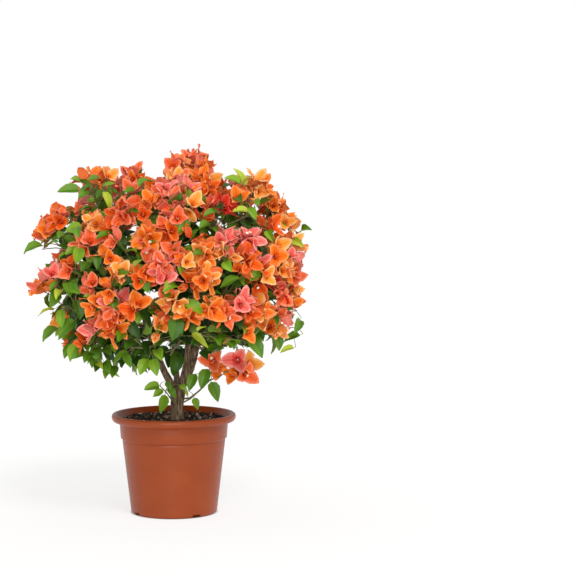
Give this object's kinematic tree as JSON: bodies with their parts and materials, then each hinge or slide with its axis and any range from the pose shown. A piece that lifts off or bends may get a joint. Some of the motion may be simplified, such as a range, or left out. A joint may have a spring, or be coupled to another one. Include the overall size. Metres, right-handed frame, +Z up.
{
  "type": "potted bougainvillea bush",
  "caption": "Round orange-flowered bougainvillea bush on a short forked trunk, growing in a rimmed terracotta-coloured plastic nursery pot.",
  "frame": {"origin": "middle of the pot's flat underside, on the ground", "axes": "+Z up through the middle of the pot; -Y points to the viewer of the reference picture, +X to that viewer's right"},
  "size_m": [0.6821, 0.6519, 0.8751],
  "materials": {
    "pot": "satin moulded plastic",
    "potting_mix": "moist crumbly bark mix",
    "bark": "fissured matte bark",
    "blossom": "papery bracts",
    "leaf": "smooth satin leaves"
  },
  "bodies": {
    "root": {"pot": "pot", "potting_mix": "potting_mix", "trunk": "bark", "bough_centre": "bark", "bough_left": "bark", "bough_right": "bark", "bough_back": "bark", "branch_front": "bark", "branch_low_front": "bark", "branch_low_right": "bark", "branch_back_right": "bark", "branch_low_back": "bark", "branch_left": "bark", "branch_low_left": "bark", "branch_low_back_left": "bark", "crown_top": "blossom", "crown_front": "blossom", "crown_right": "blossom", "crown_back_right": "blossom", "crown_back": "blossom", "crown_back_left": "blossom", "crown_left": "blossom", "skirt_front": "leaf", "skirt_right": "leaf", "skirt_back": "leaf", "skirt_back_left": "leaf", "skirt_left": "leaf", "low_shoot_right": "blossom", "low_shoot_left": "leaf"}
  },
  "joints": []
}
